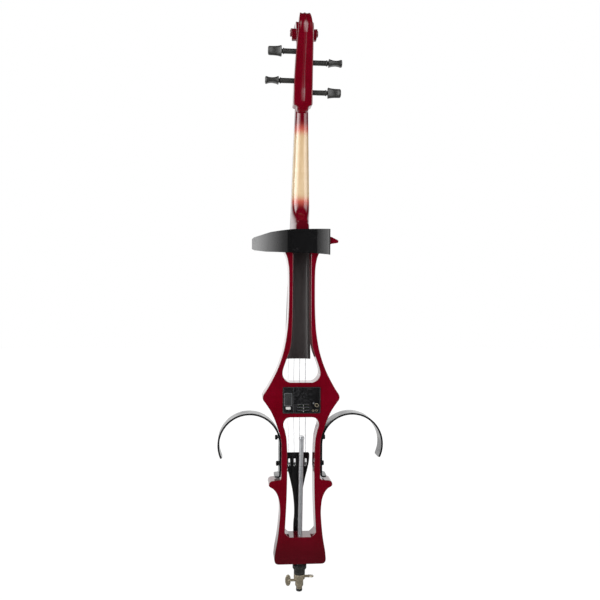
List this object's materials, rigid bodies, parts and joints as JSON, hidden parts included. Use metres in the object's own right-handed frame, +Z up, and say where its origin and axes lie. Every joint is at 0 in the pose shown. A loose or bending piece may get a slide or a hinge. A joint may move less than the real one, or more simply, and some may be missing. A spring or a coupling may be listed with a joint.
{
  "type": "electric cello",
  "caption": "Full-size electric cello with an open skeleton body, scroll and pegs, bent knee rests, a curved chest rest, a preamp in the crossbar and a sliding endpin.",
  "frame": {"origin": "middle of the rubber tip's lower face, with the endpin pushed in", "axes": "+Z up towards the scroll, +Y from the back towards the strings, +X to the right as seen from behind"},
  "size_m": [0.378, 0.1827, 1.3191],
  "materials": {
    "lacquered_maple": "clear red gloss lacquer, blond on the neck",
    "ebony": "oiled",
    "bridge_maple": "plain",
    "black_plastic": "satin",
    "grey_plastic": "fine texture",
    "black_metal": "satin black coating",
    "nickel": "warm nickel plating",
    "steel": "drawn",
    "brass": "turned",
    "rubber": "matte",
    "circuit_board": "solder mask",
    "battery_case": "printed sleeve with no text"
  },
  "bodies": {
    "body": {"body_frame": "lacquered_maple", "neck": "lacquered_maple", "fingerboard": "ebony", "nut": "ebony", "bridge": "bridge_maple", "bridge_pickup": "brass", "pickup_cable": "black_plastic", "tailpiece": "black_plastic", "saddle": "ebony", "tail_cord": "black_plastic", "string_a": "steel", "string_d": "steel", "string_g": "steel", "string_c": "steel", "endpin_plug": "ebony", "endpin_collar": "nickel", "knee_rest_left": "black_metal", "knee_rest_right": "black_metal", "knee_insert_upper_left": "brass", "knee_insert_lower_left": "brass", "knee_insert_upper_right": "brass", "knee_insert_lower_right": "brass", "chest_rest_rail": "black_plastic", "chest_rest_rail_screw": "black_metal", "preamp_housing": "black_plastic", "battery": "battery_case", "circuit_board": "circuit_board", "output_jack": "nickel", "headphone_jack": "nickel", "aux_jack": "nickel"},
    "peg_a_body": {"peg_a": "ebony", "string_winding_a": "steel"},
    "peg_d_body": {"peg_d": "ebony", "string_winding_d": "steel"},
    "peg_g_body": {"peg_g": "ebony", "string_winding_g": "steel"},
    "peg_c_body": {"peg_c": "ebony", "string_winding_c": "steel"},
    "tuner_screw_a": {"fine_tuner_screw_a": "black_metal"},
    "tuner_screw_d": {"fine_tuner_screw_d": "black_metal"},
    "tuner_screw_g": {"fine_tuner_screw_g": "black_metal"},
    "tuner_screw_c": {"fine_tuner_screw_c": "black_metal"},
    "tuner_lever_a": {"fine_tuner_lever_a": "black_metal"},
    "tuner_lever_d": {"fine_tuner_lever_d": "black_metal"},
    "tuner_lever_g": {"fine_tuner_lever_g": "black_metal"},
    "tuner_lever_c": {"fine_tuner_lever_c": "black_metal"},
    "endpin": {"endpin_rod": "steel", "endpin_tip": "rubber"},
    "clamp_screw_left": {"endpin_clamp_screw_left": "nickel"},
    "clamp_screw_right": {"endpin_clamp_screw_right": "nickel"},
    "knee_thumb_screw_upper_left": {"knee_screw_upper_left": "black_plastic"},
    "knee_thumb_screw_lower_left": {"knee_screw_lower_left": "black_plastic"},
    "knee_thumb_screw_upper_right": {"knee_screw_upper_right": "black_plastic"},
    "knee_thumb_screw_lower_right": {"knee_screw_lower_right": "black_plastic"},
    "chest_rest_plate": {"chest_rest": "black_plastic"},
    "door": {"battery_door": "grey_plastic"},
    "slider_1": {"tone_slider_1": "black_plastic"},
    "slider_2": {"tone_slider_2": "black_plastic"},
    "slider_3": {"tone_slider_3": "black_plastic"},
    "button": {"power_button": "grey_plastic"}
  },
  "joints": [
    {"name": "peg_a_turn", "type": "hinge", "parent": "body", "child": "peg_a_body", "pos_m": [0, -0.0129, 1.169], "axis": [-1, 0, 0], "continuous": true},
    {"name": "peg_d_turn", "type": "hinge", "parent": "body", "child": "peg_d_body", "pos_m": [0, -0.03684, 1.2285], "axis": [-1, 0, 0], "continuous": true},
    {"name": "peg_g_turn", "type": "hinge", "parent": "body", "child": "peg_g_body", "pos_m": [0, -0.02799, 1.2066], "axis": [1, 0, 0], "continuous": true},
    {"name": "peg_c_turn", "type": "hinge", "parent": "body", "child": "peg_c_body", "pos_m": [0, -0.00619, 1.14499], "axis": [1, 0, 0], "continuous": true},
    {"name": "tuner_a_turn", "type": "hinge", "parent": "body", "child": "tuner_screw_a", "pos_m": [-0.0198, 0.06336, 0.26247], "axis": [0, -0.9914, 0.1305], "range_deg": [0, 720]},
    {"name": "tuner_d_turn", "type": "hinge", "parent": "body", "child": "tuner_screw_d", "pos_m": [-0.0066, 0.06336, 0.26247], "axis": [0, -0.9914, 0.1305], "range_deg": [0, 720]},
    {"name": "tuner_g_turn", "type": "hinge", "parent": "body", "child": "tuner_screw_g", "pos_m": [0.0066, 0.06336, 0.26247], "axis": [0, -0.9914, 0.1305], "range_deg": [0, 720]},
    {"name": "tuner_c_turn", "type": "hinge", "parent": "body", "child": "tuner_screw_c", "pos_m": [0.0198, 0.06336, 0.26247], "axis": [0, -0.9914, 0.1305], "range_deg": [0, 720]},
    {"name": "tuner_lever_a_rock", "type": "hinge", "parent": "body", "child": "tuner_lever_a", "pos_m": [-0.0198, 0.06801, 0.279], "axis": [-1, 0, 0], "range_deg": [0, 3.4]},
    {"name": "tuner_lever_d_rock", "type": "hinge", "parent": "body", "child": "tuner_lever_d", "pos_m": [-0.0066, 0.06801, 0.279], "axis": [-1, 0, 0], "range_deg": [0, 3.4]},
    {"name": "tuner_lever_g_rock", "type": "hinge", "parent": "body", "child": "tuner_lever_g", "pos_m": [0.0066, 0.06801, 0.279], "axis": [-1, 0, 0], "range_deg": [0, 3.4]},
    {"name": "tuner_lever_c_rock", "type": "hinge", "parent": "body", "child": "tuner_lever_c", "pos_m": [0.0198, 0.06801, 0.279], "axis": [-1, 0, 0], "range_deg": [0, 3.4]},
    {"name": "endpin_slide", "type": "slide", "parent": "body", "child": "endpin", "axis": [0, 0.0971, -0.9953], "range_m": [0, 0.21]},
    {"name": "clamp_left_turn", "type": "hinge", "parent": "body", "child": "clamp_screw_left", "pos_m": [0, -0.00248, 0.02548], "axis": [-1, 0, 0], "continuous": true},
    {"name": "clamp_right_turn", "type": "hinge", "parent": "body", "child": "clamp_screw_right", "pos_m": [0, -0.00336, 0.03444], "axis": [1, 0, 0], "continuous": true},
    {"name": "knee_screw_upper_left_turn", "type": "hinge", "parent": "body", "child": "knee_thumb_screw_upper_left", "pos_m": [-0.05, 0.002, 0.35394], "axis": [-1, 0, 0], "continuous": true},
    {"name": "knee_screw_lower_left_turn", "type": "hinge", "parent": "body", "child": "knee_thumb_screw_lower_left", "pos_m": [-0.05, 0.002, 0.29394], "axis": [-1, 0, 0], "continuous": true},
    {"name": "knee_screw_upper_right_turn", "type": "hinge", "parent": "body", "child": "knee_thumb_screw_upper_right", "pos_m": [0.05, 0.002, 0.35394], "axis": [1, 0, 0], "continuous": true},
    {"name": "knee_screw_lower_right_turn", "type": "hinge", "parent": "body", "child": "knee_thumb_screw_lower_right", "pos_m": [0.05, 0.002, 0.29394], "axis": [1, 0, 0], "continuous": true},
    {"name": "chest_rest_slide", "type": "slide", "parent": "body", "child": "chest_rest_plate", "axis": [0, 0, 1], "range_m": [0, 0.035]},
    {"name": "battery_door_swing", "type": "hinge", "parent": "body", "child": "door", "pos_m": [0, -0.0246, 0.46809], "axis": [-1, 0, 0], "range_deg": [0, 100]},
    {"name": "tone_slider_1_slide", "type": "slide", "parent": "body", "child": "slider_1", "axis": [1, 0, 0], "range_m": [-0.01, 0.01]},
    {"name": "tone_slider_2_slide", "type": "slide", "parent": "body", "child": "slider_2", "axis": [1, 0, 0], "range_m": [-0.01, 0.01]},
    {"name": "tone_slider_3_slide", "type": "slide", "parent": "body", "child": "slider_3", "axis": [1, 0, 0], "range_m": [-0.01, 0.01]},
    {"name": "power_button_press", "type": "slide", "parent": "body", "child": "button", "axis": [0, 1, 0], "range_m": [0, 0.0015], "stiffness_N_per_m": 300}
  ],
  "couplings": [
    {"joint": "tuner_lever_a_rock", "follows": "tuner_a_turn", "ratio": 0.0047},
    {"joint": "tuner_lever_d_rock", "follows": "tuner_d_turn", "ratio": 0.0047},
    {"joint": "tuner_lever_g_rock", "follows": "tuner_g_turn", "ratio": 0.0047},
    {"joint": "tuner_lever_c_rock", "follows": "tuner_c_turn", "ratio": 0.0047}
  ]
}
